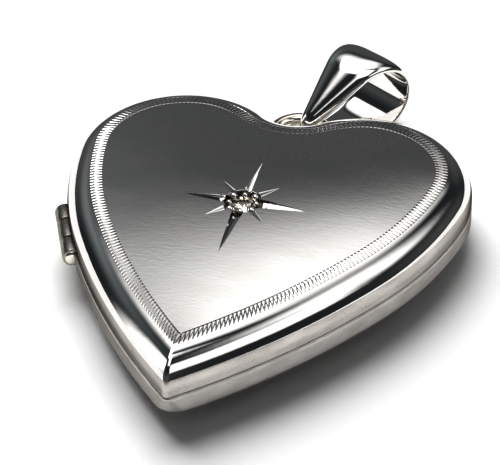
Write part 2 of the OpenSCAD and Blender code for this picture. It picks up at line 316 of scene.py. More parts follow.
class Finishes:
    """Every material of the scene, each made once."""

    def __init__(self) -> None:
        """Builds the finishes."""
        silver, warm, tan = (0.95, 0.94, 0.925), (0.92, 0.9, 0.875), (0.86, 0.8, 0.68)
        self.polished = Silver(
            "polished_silver", silver, warm, (0.03, 0.07), cloud=(0.3, 0.3, 0.3),
            ripple=(0.35, 0.35, 0.35), ripple_depth=0.012, speckle=9, speckle_depth=0.0002,
        ).material()
        self.satin = Silver(
            "satin_silver", silver, warm, (0.17, 0.2), cloud=(0.25, 0.6, 0.5),
            ripple=(2.4, 6.5, 3), ripple_depth=0.0018, speckle=12, speckle_depth=0.0008,
        ).material()
        # The brushed wall's roughness is its real finish; its darker colour and dimmed edge reflection
        # are painted shade.
        self.wall = Silver(
            "brushed_wall_painted_shade", (0.76, 0.735, 0.705), (0.64, 0.61, 0.58), (0.2, 0.3),
            cloud=(0.6, 0.6, 2), ripple=(2.5, 2.5, 5), ripple_depth=0.002,
            speckle=13, speckle_depth=0.003, edge=0.05,
        ).material()
        # The frosted wall's roughness and speckle are its real finish; its darker colour and dimmed
        # edge reflection are painted shade.
        self.frosted = Silver(
            "frosted_wall_painted_shade", (0.86, 0.835, 0.805), (0.7, 0.67, 0.64), (0.3, 0.42),
            cloud=(0.8, 0.8, 2), ripple=(3, 3, 6), ripple_depth=0.003,
            speckle=10, speckle_depth=0.011, edge=0.15,
        ).material()
        self.inside = Silver(
            "lined_silver", silver, (0.88, 0.84, 0.78), (0.1, 0.2), cloud=(0.4, 0.4, 0.4),
            ripple=(1, 1, 1), ripple_depth=0.004, speckle=10, speckle_depth=0.0006,
        ).material()
        self.cut = Silver(
            "bright_cut", silver, silver, (0.02, 0.06), ripple=(3, 3, 3), ripple_depth=0.001,
            speckle=20, speckle_depth=0.0002,
        ).material()
        # Dark colour of the bevel round the stone: painted shade in the recess.
        self.recess = Silver(
            "recess_painted_shade", (0.2, 0.17, 0.14), (0.09, 0.08, 0.07), (0.15, 0.3), cloud=(2, 2, 2),
            ripple=(3, 3, 3), ripple_depth=0.004, speckle=14, speckle_depth=0.002,
        ).material()
        self.engraved = Silver(
            "engraved_silver", silver, (0.88, 0.84, 0.82), (0.06, 0.14), ripple=(4, 4, 4),
            ripple_depth=0.001, speckle=16, speckle_depth=0.0006,
        ).material()
        # The knuckles' roughness is their real finish; their darker colour and dimmed edge reflection
        # are painted shade.
        self.knuckle = Silver(
            "hinge_silver_painted_shade", (0.62, 0.6, 0.57), (0.5, 0.47, 0.42), (0.22, 0.34), cloud=(1, 1, 1),
            ripple=(2, 2, 2), ripple_depth=0.004, speckle=11, speckle_depth=0.002, edge=0.5,
        ).material()
        # The closing rim's dark colour is painted shade in the seam between the covers.
        self.rim = Silver(
            "rim_painted_shade", (0.52, 0.49, 0.45), (0.36, 0.33, 0.29), (0.2, 0.32),
            cloud=(0.7, 0.7, 2), ripple=(2, 2, 2), ripple_depth=0.003,
            speckle=12, speckle_depth=0.001,
        ).material()
        self.wire = Silver(
            "soldered_silver", silver, tan, (0.05, 0.12), cloud=(0.8, 0.8, 0.8),
            ripple=(1.2, 1.2, 1.2), ripple_depth=0.006, speckle=10, speckle_depth=0.0008,
        ).material()
        self.stone = Clear("stone", (0.8, 0.74, 0.64), 2.4, (0, 0.02), 0.0002).material()
        self.window = Clear("window", (0.97, 0.98, 0.98), 1.47, (0.01, 0.05), 0.003).material()
        self.card = Matt(
            "card", (0.86, 0.83, 0.76), (0.8, 0.76, 0.68), (1.2, 5, 3), 0.004
        ).material()
        self.floor = Matt(
            "studio_floor", (0.81, 0.81, 0.81), (0.79, 0.79, 0.79), (0.02, 0.03, 0.02), 0.001
        ).material()


# ---------------------------------------------------------------- mesh making


def fold(low: Array, share: Array, high: Array) -> Array:
    """Goes from low to high as share goes from 0 to 1."""
    return low + (high - low) * share


def smooth(share: Array) -> Array:
    """Smoothstep: 3s^2 - 2s^3 with s held between 0 and 1."""
    s = np.clip(share, 0, 1)
    return s * s * (3 - 2 * s)


def spaced(count: int) -> Array:
    """Angles of count points evenly round a circle."""
    return np.linspace(0, TURN, count + 1)[:-1]


def quads_of(rows: int, cols: int, loop: bool) -> Index:
    """Quads of a grid whose columns close on themselves.

    Args:
        rows: the grid's rows.
        cols: the grid's columns.
        loop: whether the last row joins the first.

    Returns:
        Four corner numbers for each face.
    """
    i = np.arange(rows if loop else rows - 1)[:, None]
    j = np.arange(cols)[None, :]
    below, after = (i + 1) % rows, (j + 1) % cols
    corners = [i * cols + j, i * cols + after, below * cols + after, below * cols + j]
    return np.stack(corners, -1).reshape(-1, 4)


def enclosed(points: Array, quads: Index, tris: Index) -> float:
    """Measures a closed mesh.

    Args:
        points: its corners.
        quads: four corner numbers for each four-sided face.
        tris: three corner numbers for each triangle.

    Returns:
        Six times the volume inside, negative if the mesh is inside out.
    """
    parts = np.concatenate([quads[:, [0, 1, 2]], quads[:, [0, 2, 3]], tris])
    a, b, c = (points[parts[:, k]] for k in range(3))
    return float(np.einsum("ij,ij->", a, np.cross(b, c)))


def mesh_object(
    name: str,
    points: Array,
    quads: Index,
    tris: Index,
    finishes: Sequence[Material],
    crease: float = 40,
    kinds: Optional[Index] = None,
    flat: Optional[NDArray[np.bool_]] = None,
) -> Piece:
    """Puts arrays of points and faces into a new object, turned the right way out.

    Args:
        name: the piece's name.
        points: corners in millimetres, one row each.
        quads: four corner numbers for each four-sided face.
        tris: three corner numbers for each triangle.
        finishes: the piece's materials.
        crease: angle in degrees past which an edge stays sharp.
        kinds: which material each face takes, quads first.
        flat: which faces are flat facets, quads first.

    Returns:
        The linked object, at the origin.
    """
    if enclosed(points - points.mean(0), quads, tris) < 0:
        quads, tris = quads[:, ::-1], tris[:, ::-1]
    mesh = bpy.data.meshes.new(name)
    mesh.vertices.add(len(points))
    mesh.vertices.foreach_set("co", (points * MM).astype(np.float32).ravel())
    corners = np.concatenate([quads.ravel(), tris.ravel()]).astype(np.int32)
    mesh.loops.add(len(corners))
    mesh.loops.foreach_set("vertex_index", corners)
    starts = np.concatenate([np.arange(len(quads)) * 4, len(quads) * 4 + np.arange(len(tris)) * 3])
    mesh.polygons.add(len(starts))
    mesh.polygons.foreach_set("loop_start", starts.astype(np.int32))
    if kinds is not None:
        mesh.polygons.foreach_set("material_index", kinds.astype(np.int32))
    rounded = np.ones(len(starts), bool) if flat is None else ~flat
    mesh.polygons.foreach_set("use_smooth", rounded)
    for finish in finishes:
        mesh.materials.append(finish)
    mesh.update(calc_edges=True)
    mesh.validate()
    mesh.set_sharp_from_angle(angle=math.radians(crease))
    piece = bpy.data.objects.new(name, mesh)
    bpy.context.scene.collection.objects.link(piece)
    return piece


def looped(name: str, grid: Array, finishes: Sequence[Material], **more: Any) -> Piece:
    """A ring-shaped solid: a grid of points that closes on itself both ways.

    Args:
        name: the piece's name.
        grid: points by row and column.
        finishes: the piece's materials.
        more: what else mesh_object takes.

    Returns:
        The linked object.
    """
    quads = quads_of(*grid.shape[:2], loop=True)
    none = np.zeros((0, 3), np.int64)
    return mesh_object(name, grid.reshape(-1, 3), quads, none, finishes, **more)


def capped(
    name: str, grid: Array, first: Array, last: Array, finishes: Sequence[Material], **more: Any
) -> Piece:
    """A ball-shaped solid: a grid whose end rows are closed to a point each.

    Args:
        name: the piece's name.
        grid: points by row and column; each row closes on itself.
        first: the point that closes the first row.
        last: the point that closes the last row.
        finishes: the piece's materials.
        more: what else mesh_object takes.

    Returns:
        The linked object.
    """
    rows, cols = grid.shape[:2]
    j = np.arange(cols)
    after, top = (j + 1) % cols, rows * cols
    tris = np.concatenate([
        np.stack([after, j, np.full(cols, top)], -1),
        np.stack([(rows - 1) * cols + j, (rows - 1) * cols + after, np.full(cols, top + 1)], -1),
    ])
    points = np.concatenate([grid.reshape(-1, 3), [first], [last]])
    return mesh_object(name, points, quads_of(rows, cols, loop=False), tris, finishes, **more)


def ride(piece: Piece, body: Body, node: str) -> None:
    """Puts a piece on its body and the CAD node it stands for, and reports it.

    Args:
        piece: the piece.
        body: the body that carries it.
        node: the CAD node that it replaces.
    """
    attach(piece, body.value)
    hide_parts(node)
    log.info("%s: %d faces on %s", piece.name, len(piece.data.polygons), body.value)


@dataclass
class Maker:
    """What every sub-assembly has: the scene's materials, which its pieces are made in."""

    finishes: Finishes


def conic(start: Array, pull: Array, end: Array, t: Array) -> Array:
    """Points of a conic arc drawn towards pull, which is a quarter circle between equal sides.

    The point at t is ((1-t)^2 start + 2wt(1-t) pull + t^2 end) / ((1-t)^2 + 2wt(1-t) + t^2), with
    w the square root of a half.

    Args:
        start: where the arc starts.
        pull: the corner that it rounds.
        end: where it ends.
        t: how far along it each point is, from 0 to 1.

    Returns:
        The points.
    """
    a, b, c = (1 - t) ** 2, math.sqrt(2) * t * (1 - t), t * t
    return (a * start + b * pull + c * end) / (a + b + c)


def bend(start: Sequence[float], pull: Sequence[float], end: Sequence[float], steps: int) -> Array:
    """A conic arc of steps parts, as points one row each."""
    t = np.linspace(0, 1, steps + 1)[:, None]
    return conic(np.array(start), np.array(pull), np.array(end), t)


def soft_corners(loop: Sequence[Sequence[float]], radius: float, steps: int = 3) -> Array:
    """A closed loop of points with each corner replaced by a small arc.

    Args:
        loop: the corners, in order.
        radius: how far from a corner its arc starts, at most 0.45 of the side.
        steps: the arc's number of parts.

    Returns:
        The loop's points, one row each.
    """
    corners = np.array(loop, float)

    def towards(shift: int) -> Array:
        """The point where each corner's arc meets the side to the corner before or after it."""
        side = np.roll(corners, shift, 0) - corners
        length = np.linalg.norm(side, axis=1, keepdims=True)
        return (corners + side / length * np.minimum(radius, 0.45 * length))[:, None]

    t = np.linspace(0, 1, steps + 1)[None, :, None]
    return conic(towards(1), corners[:, None], towards(-1), t).reshape(-1, 2)


# ---------------------------------------------------------------- the heart's outline


@dataclass(frozen=True)
class Heart:
    """The outline: four arcs a side, each tangent to the next, offset inwards by an inset."""

    width: float
    top: float
    cleft_depth: float = 1.62
    cleft_r: float = 1.75
    side_r: float = 18.1
    side_turn: float = math.radians(9.2)
    flank_r: float = 37.3
    flank_turn: float = math.radians(31.2)
    close_counts: Counts = (80, 240, 120, 200, 12)

    @property
    def lobe_r(self) -> float:
        """Lobe radius that leaves the cleft its depth: c + w/2 - sqrt(c (w + 2 cleft radius))."""
        c = self.cleft_depth
        return c + self.width / 2 - math.sqrt(c * (self.width + 2 * self.cleft_r))

    @property
    def lobe(self) -> Point:
        """Centre of the right lobe."""
        return self.width / 2 - self.lobe_r, self.top - self.lobe_r

    @property
    def cleft(self) -> Point:
        """Centre of the cleft's arc."""
        x, y = self.lobe
        return 0.0, y + math.sqrt((self.lobe_r + self.cleft_r) ** 2 - x * x)

    @property
    def side(self) -> Point:
        """Centre of the right side's arc."""
        x, y = self.lobe
        reach = self.side_r - self.lobe_r
        return x - reach * math.cos(self.side_turn), y + reach * math.sin(self.side_turn)

    @property
    def flank(self) -> Point:
        """Centre of the right flank's arc."""
        x, y = self.side
        reach = self.flank_r - self.side_r
        return x - reach * math.cos(self.flank_turn), y + reach * math.sin(self.flank_turn)

    @property
    def join(self) -> float:
        """Direction from the lobe's centre to the cleft's, where their arcs meet."""
        return math.atan2(self.cleft[1] - self.lobe[1], -self.lobe[0])

    def spans(self, inset: float) -> list[float]:
        """Measures the right half's arcs.

        Args:
            inset: how far inside the outline they run.

        Returns:
            Lengths of the cleft's, lobe's, side's and flank's arcs.
        """
        tip = math.acos(-self.flank[0] / (self.flank_r - inset))
        return [
            (self.cleft_r + inset) * (self.join - math.pi / 2),
            (self.lobe_r - inset) * (self.join + self.side_turn),
            (self.side_r - inset) * (self.flank_turn - self.side_turn),
            (self.flank_r - inset) * (tip - self.flank_turn),
        ]

    def rings(self, inset: Array, nose: Array, counts: Sequence[int]) -> Array:
        """Outlines at several insets, clockwise from the cleft, with the tip rounded.

        Each arc's point is centre + radius * (cos a, sin a). The tip is rounded by the outline at
        inset + nose, moved back out by nose along its own normals.

        Args:
            inset: how far inside the outline each ring runs.
            nose: the tip's radius in each ring.
            counts: parts along cleft, lobe, side, flank and half the tip.

        Returns:
            An array of rings, points and x, y.
        """
        inset, nose = np.broadcast_arrays(np.atleast_1d(inset), np.atleast_1d(nose))
        deep = (inset + nose)[:, None]
        nose = nose[:, None]
        tip = -np.arccos(-self.flank[0] / (self.flank_r - deep))

        def arc(
            centre: Sequence[Number], radius: Number, start: Number, end: Number, count: int,
            sign: float = 1.0,
        ) -> Array:
            """One arc of every ring, without its first point."""
            a = start + (end - start) * (np.arange(1, count + 1) / count)[None, :]
            reach = radius + sign * nose
            return np.stack([centre[0] + reach * np.cos(a), centre[1] + reach * np.sin(a)], -1)

        end = [self.flank[0] + (self.flank_r - deep) * np.cos(tip),
               self.flank[1] + (self.flank_r - deep) * np.sin(tip)]
        down = -math.pi / 2
        first = np.stack([0 * deep, self.cleft[1] - self.cleft_r - inset[:, None]], -1)
        half = np.concatenate([
            first,
            arc(self.cleft, self.cleft_r + deep, down, self.join - math.pi, counts[0], -1.0),
            arc(self.lobe, self.lobe_r - deep, self.join, -self.side_turn, counts[1]),
            arc(self.side, self.side_r - deep, -self.side_turn, -self.flank_turn, counts[2]),
            arc(self.flank, self.flank_r - deep, -self.flank_turn, tip, counts[3]),
            arc(end, 0.0, tip, down, counts[4]),
        ], axis=1)
        return np.concatenate([half, half[:, -2:0:-1] * [-1, 1]], axis=1)

    def reach(self, centre: Array, angles: Array, inset: float, nose: float) -> Array:
        """Distance from a centre to the outline, read between close points of the ring.

        Args:
            centre: a point inside the outline.
            angles: directions from it.
            inset: how far inside the outline the ring runs.
            nose: its tip's radius.

        Returns:
            The distance along each angle.
        """
        ring = self.rings(np.array([inset]), np.array([nose]), self.close_counts)[0] - centre
        angle = np.arctan2(ring[:, 1], ring[:, 0]) % TURN
        order = np.argsort(angle)
        length = np.linalg.norm(ring, axis=1)
        return np.interp(angles % TURN, angle[order], length[order], period=TURN)


@dataclass(frozen=True)
class Pillow:
    """Height of a membrane blown up over the heart: its Laplacian is constant, its edge level."""

    heart: Heart
    inset: float
    edge: float
    peak: float
    centre: Point
    terms: int = 14
    scale: float = 9.0
    nose: float = 0.02
    rim_counts: Counts = (40, 120, 60, 120, 2)
    half_spans: tuple[int, int] = (8, 9)
    per_mm: int = 10

    def local(self, xy: Array) -> Array:
        """Points measured from the centre, in units of the scale."""
        return (xy - np.array(self.centre)) / self.scale

    def bowl(self, xy: Array) -> Array:
        """Height of a paraboloid about the centre."""
        return (self.local(xy) ** 2).sum(-1)

    def basis(self, xy: Array) -> Array:
        """Real parts of powers of y + ix about the centre, which are all harmonic."""
        p = self.local(xy)
        z = p[..., 1] + 1j * p[..., 0]
        return np.stack([(z**k).real for k in range(self.terms)], -1)

    def solve(self) -> tuple[Array, float]:
        """Fits the harmonics that cancel the paraboloid on the edge.

        Returns:
            Their weights, and the greatest height inside the edge, probed on an even grid.
        """
        rim = self.heart.rings(np.array([self.inset]), np.array([self.nose]), self.rim_counts)[0]
        weights = np.linalg.lstsq(self.basis(rim), self.bowl(rim), rcond=None)[0]
        lines = [np.linspace(-half, half, 2 * self.per_mm * half + 1) for half in self.half_spans]
        probe = np.stack(np.meshgrid(*lines), -1)
        off = probe - np.array(self.centre)
        angles = np.arctan2(off[..., 1], off[..., 0])
        edge = self.heart.reach(np.array(self.centre), angles, self.inset, self.nose)
        inner = probe[edge > np.linalg.norm(off, axis=-1)]
        rise = self.basis(inner) @ weights - self.bowl(inner)
        return weights, float(rise.max())

    def height(self, xy: Array, weights: Array, top: float) -> Array:
        """The edge's level plus the blown-up part, scaled to the peak.

        Args:
            xy: points inside the edge.
            weights: the harmonics' weights.
            top: the greatest height that they give.

        Returns:
            The height at each point.
        """
        return self.edge + (self.peak - self.edge) * (self.basis(xy) @ weights - self.bowl(xy)) / top


@dataclass(frozen=True)
class HingeLine:
    """The pin's axis, from the frame's joint, and the notch that its knuckles need in a wall."""

    middle: Point
    along: Point
    half: float = 1.9
    middle_half: float = 0.7
    knuckle_r: float = 0.48
    gap: float = 0.06
    end_room: float = 0.15

    def notch(self, xy: Array, own_middle: bool) -> Array:
        """Height of the notch over the seam: sqrt(r^2 - sideways^2) over the hinge's length.

        Args:
            xy: points of the wall.
            own_middle: True for the cover that carries the middle knuckle.

        Returns:
            The height that the wall's edge is raised to, 0 away from the hinge.
        """
        off = xy - np.array(self.middle)
        x, y = self.along
        along, away = np.abs(off @ np.array([x, y])), off @ np.array([-y, x])
        middle = along < self.middle_half + self.gap / 2
        radius = np.where(middle == own_middle, self.knuckle_r, self.knuckle_r + self.gap)
        cut = np.sqrt(np.clip(radius**2 - away**2, 0, None))
        return np.where(along < self.half + self.end_room, cut, 0)


# ---------------------------------------------------------------- the covers


@dataclass
class Cover(Maker):
    """What both pressed covers share: sheet, wall, rounded shoulder and the tip's rounding."""

    heart: Heart
    hinge: HingeLine
    seam: float
    wall: float
    rise: float
    shoulder: float
    slope: float
    shoulder_rows: int
    wall_rows: int = 10
    inner_wall_rows: int = 6
    inner_shoulder_rows: int = 10
    sheet: float = 0.4
    lip: float = 0.11
    lip_parts: int = 4
    most_notch: float = 0.999
    nose: float = 0.3
    far_nose: float = TIP_R
    nose_power: float = 2
    counts: Counts = (22, 104, 70, 108, 16)

    def skin(self) -> tuple[Array, Array]:
        """Profiles from the seam up the wall to the shoulder's end, as inset and height.

        The lip and the shoulder are conic arcs, and the shoulder ends at the dome's slope.

        Returns:
            The outer profile and the inner profile, a sheet's thickness inside it.
        """
        f, w, t = self.lip, self.wall, self.sheet
        up = np.stack([np.zeros(self.wall_rows), np.linspace(f, w, self.wall_rows + 1)[1:]], -1)
        start = self.rise - self.slope * self.shoulder
        over = bend([0, w], [0, start], [self.shoulder, self.rise], self.shoulder_rows)[1:]
        outer = np.concatenate([bend([f, 0], [0, 0], [0, f], self.lip_parts), up, over])
        rows = self.inner_wall_rows
        low = self.rise - t
        pull = [t, low - self.slope * (self.shoulder - t)]
        under_over = bend([t, w], pull, [self.shoulder, low], self.inner_shoulder_rows)[1:]
        under_up = np.stack([np.full(rows, t), np.linspace(0, w, rows)], -1)
        return outer, np.concatenate([under_up, under_over])

    def carry(self, profile: Array, own_middle: bool, sign: float) -> Array:
        """Carries a profile round the heart, raising the wall's foot over the hinge's notch.

        A wall point at height h goes to cut + h (1 - cut / wall), where cut is the notch there.

        Args:
            profile: rows of inset and height.
            own_middle: True for the cover that carries the middle knuckle.
            sign: 1 for the front cover, -1 for the back one, which hangs below the seam.

        Returns:
            Points, as rows, columns and x, y, z.
        """
        inset, high = profile[:, 0], profile[:, 1]
        nose = fold(self.nose, np.clip(high / self.rise, 0, 1) ** self.nose_power, self.far_nose)
        xy = self.heart.rings(inset, nose, self.counts)
        cut = np.minimum(self.hinge.notch(xy, own_middle), self.wall * self.most_notch)
        z = np.broadcast_to(high[:, None], xy.shape[:2])
        z = np.where(z <= self.wall + TINY, cut + z * (1 - cut / self.wall), z)
        return np.concatenate([xy, (self.seam + sign * z)[..., None]], -1)


@dataclass
class BackCover(Cover):
    """The back cover: one bowl from the seam to a shallow crown, and back inside it.

    Its wall is frosted from the lip to a few rows over the shoulder, and darker there as painted shade.
    """

    wall: float = 0.87
    rise: float = 1.75
    shoulder: float = 1.5
    slope: float = 0.12
    shoulder_rows: int = 26
    far_nose: float = 1.7
    nose_power: float = 1
    crown: float = 0.3
    crown_reach: float = 0.75
    crown_rings: int = 20
    frosted_rows: int = 2
    centre: Point = (0.0, 1.0)

    def cap(self, skin: Array, drop: float) -> Array:
        """Rings drawn in from the shoulder's end towards the crown's middle.

        At share s of the way in the crown stands out by crown * (1 - (1 - s / reach)^2).

        Args:
            skin: the profile carried round, whose last row the rings start from.
            drop: how far inside the outer skin this one lies.

        Returns:
            The rings, as rows, columns and x, y, z.
        """
        share = np.linspace(0, 1, self.crown_rings + 2)[1:-1, None, None]
        xy = skin[-1][None, :, :2] * (1 - share) + np.array(self.centre) * share
        bulge = self.crown * (1 - (1 - share / self.crown_reach).clip(0, 1) ** 2)
        z = np.broadcast_to(self.seam - self.rise + drop - bulge, (*xy.shape[:2], 1))
        return np.concatenate([xy, z], -1)

    def build(self) -> None:
        """Makes the bowl: the outer skin from its middle to the lip, and the inner one back."""
        outer, inner = (self.carry(profile, False, -1.0) for profile in self.skin())
        over, under = self.cap(outer, 0.0), self.cap(inner, self.sheet)
        grid = np.concatenate([over[::-1], outer[::-1], inner, under])
        rows, cols = grid.shape[:2]
        edge = len(over)
        part = np.zeros(rows - 1, int)
        # The frosted band's darker silver is painted shade as well as frosting.
        part[edge + self.shoulder_rows - self.frosted_rows : edge + len(outer)] = 1
        part[edge + len(outer) :] = 2
        kinds = np.concatenate([np.repeat(part, cols), np.zeros(cols, int), np.full(cols, 2)])
        low = self.seam - self.rise - self.crown
        piece = capped(
            "back_cover_bowl", grid, [*self.centre, low], [*self.centre, low + self.sheet],
            [self.finishes.polished, self.finishes.frosted, self.finishes.inside], kinds=kinds,
        )
        ride(piece, Body.BACK, "back_cover")


@dataclass(frozen=True)
class Wriggle:
    """The wriggle-cut border: two strokes a pitch, each a groove of V section in a raised band."""

    outer: float = 1.2
    inner: float = 1.8
    pitch: float = 0.22
    steps: int = 16
    rows: int = 15
    depth: float = 0.02
    groove: float = 0.032
    stroke: float = 0.8
    margin: float = 0.18
    lift: float = 0.012
    back_step: int = 7
    tip_parts: int = 4

    def counts(self, heart: Heart) -> list[int]:
        """Parts along each arc of the heart that hold a whole number of pitches."""
        spans = heart.spans((self.outer + self.inner) / 2)
        return [self.steps * max(1, round(length / self.pitch)) for length in spans] + [self.tip_parts]

    def relief(self, cols: int) -> tuple[Array, Array]:
        """The band's relief on the dome.

        Along a period phase p goes from 0 to 1. At height share q across the band, from -1 to 1,
        the strokes cross at p = (1 - q)/4 and 1 - (1 - q)/4. Depth falls off evenly from them.

        Args:
            cols: points along the band.

        Returns:
            The band's lift and the strokes' depth, by row and column.
        """
        across = np.linspace(-1, 1, self.rows)[:, None]
        phase = (np.arange(cols)[None, :] / self.steps) % 1
        meet = (1 - np.clip(across / self.stroke, -1, 1)) / 4
        away = np.minimum(np.abs(phase - meet), np.abs(phase - 1 + meet))
        away = np.minimum(away, 1 - np.abs(phase - meet)) * self.pitch
        inside = smooth((1 - np.abs(across)) / self.margin)
        return self.lift * inside, self.depth * np.clip(1 - away / self.groove, 0, 1) * inside


@dataclass(frozen=True)
class Ray:
    """One engraved ray of the star: a long slanting cut or a short even one."""

    angle: float
    tip: float
    half: float
    long: bool

    @property
    def lines(self) -> Array:
        """Where the ray's seven grid lines run, as shares of its half width."""
        slanting = (-1, -0.9, -0.45, 0, 0.45, 0.9, 1)
        even = (-1, -0.5, 0, 0.25, 0.5, 0.75, 1)
        return np.array(slanting if self.long else even)


@dataclass(frozen=True)
class Star:
    """The bright-cut star: eight rays round the stone's hole, on a polar grid drawn to them."""

    centre: Point
    hole: float = 0.655
    bevel_r: float = 0.86
    bevel_depth: float = 0.2
    field_r: float = 3.9
    per_ray: int = 48
    taper: float = 0.8
    least_half: float = 0.012
    no_half: float = 1e-4
    widest: float = 0.7
    pocket_at: float = 1.06
    pocket_r: float = 0.2
    pocket_stretch: float = 1.1
    tilt: float = 9.0
    fall: float = 4.0
    deepest: float = 0.33
    side_slope: float = 7
    short_tilt: float = 24
    sizes: tuple[Point, ...] = (
        (3.0, 0.34), (1.95, 0.2), (3.3, 0.2), (1.85, 0.13),
        (2.85, 0.27), (1.95, 0.2), (3.75, 0.27), (1.85, 0.15),
    )

    @property
    def rays(self) -> list[Ray]:
        """The rays, anticlockwise from +X, long and short in turn."""
        eighth = TURN / len(self.sizes)
        return [Ray(eighth * k, tip, half, k % 2 == 0) for k, (tip, half) in enumerate(self.sizes)]

    def half_width(self, ray: Ray, r: Array) -> Array:
        """A ray's half width at each radius: its own, times its share still to run ^ taper."""
        return ray.half * np.clip((ray.tip - r) / (ray.tip - self.bevel_r), 0, 1) ** self.taper

    def columns(self, r: Array) -> Array:
        """Angle of every grid line at every radius, drawn to the rays' edges.

        A ray's line at share q of its half width w runs at angle + asin(q w / r). Past the ray's
        tip w opens again slowly, so the lines spread out. Lines between rays are evenly spaced.

        Args:
            r: the grid's radii.

        Returns:
            The angles, by radius and line.
        """
        rays = self.rays
        step = TURN / len(rays) / self.per_ray
        blocks = []
        for ray in rays:
            open_ = 3 * step * r * smooth((r - ray.tip) / (self.field_r - ray.tip))
            w = np.maximum(np.maximum(self.half_width(ray, r), self.least_half), open_)
            share = np.clip(ray.lines[None] * w[:, None] / r[:, None], -self.widest, self.widest)
            blocks.append(ray.angle + np.arcsin(share))
        between = self.per_ray - len(rays[0].lines)
        share = np.arange(1, between + 1)[None, :] / (between + 1)
        parts = []
        for k, block in enumerate(blocks):
            last = block[:, -1:]
            after = blocks[(k + 1) % len(blocks)][:, :1] + (TURN if k + 1 == len(blocks) else 0)
            parts += [block, last + (after - last) * share]
        return np.concatenate(parts, axis=1)

    def engraving(self, r: Array, angle: Array) -> Array:
        """Depth of the star's cuts below the dome, 0 where the satin field is whole.

        A long ray's floor slants across it and falls towards the stone, between steep sides; a
        short one is a V. A round pocket is drilled at the foot of each long ray, and a bevel
        falls to the stone.

        Args:
            r: radius of each grid point.
            angle: its angle.

        Returns:
            The depth at each point.
        """
        depth = np.zeros_like(angle)
        x, y = r * np.cos(angle), r * np.sin(angle)
        tilt, fall, short = (math.tan(math.radians(v)) for v in (self.tilt, self.fall, self.short_tilt))
        for ray in self.rays:
            turn = (angle - ray.angle + math.pi) % TURN - math.pi
            w = np.maximum(self.half_width(ray, r), self.no_half)
            q = r * np.sin(turn) / w
            cut = (1 - np.abs(q)) * w * short
            if ray.long:
                slant = (1 - q) * w * tilt + (ray.tip - r) * fall
                cut = np.minimum(slant, self.deepest)
                cut = np.minimum(cut, (1 - np.abs(q)) * w * self.side_slope)
                px, py = self.pocket_at * math.cos(ray.angle), self.pocket_at * math.sin(ray.angle)
                ball = np.sqrt(np.clip(self.pocket_r**2 - np.hypot(x - px, y - py) ** 2, 0, None))
                depth = np.maximum(depth, self.pocket_stretch * ball)
            on_ray = (np.abs(q) < 1) & (np.abs(turn) < TURN / 4) & (r < ray.tip)
            depth = np.maximum(depth, np.where(on_ray, cut, 0))
        bevel = np.clip((self.bevel_r - r) / (self.bevel_r - self.hole), 0, 1)
        return np.maximum(depth, self.bevel_depth * bevel)


